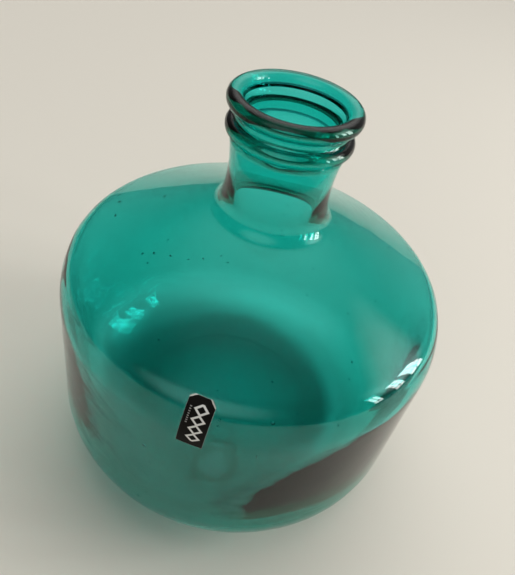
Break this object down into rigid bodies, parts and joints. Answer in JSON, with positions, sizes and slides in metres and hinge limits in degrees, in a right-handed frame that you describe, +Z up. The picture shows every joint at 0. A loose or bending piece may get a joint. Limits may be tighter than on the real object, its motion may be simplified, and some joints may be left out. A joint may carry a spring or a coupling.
{
  "type": "glass carboy",
  "caption": "Squat blown-glass carboy with a sloping shoulder, a short neck with a bead and a rolled lip, an open mouth and a small paper label.",
  "frame": {"origin": "centre of the bottle's base, on the surface that it stands on", "axes": "+Z up along the bottle's axis and out of the mouth; the label faces -Y"},
  "size_m": [0.28, 0.2798, 0.2989],
  "materials": {
    "glass": "clear teal-green blown glass, glossy, with a few small bubbles",
    "adhesive": "clear dried pressure-sensitive adhesive film",
    "label_paper": "black printed coated paper, satin, white at its cut and torn edges"
  },
  "bodies": {
    "root": {"glass_vessel": "glass", "label_adhesive": "adhesive", "paper_label": "label_paper"}
  },
  "joints": []
}
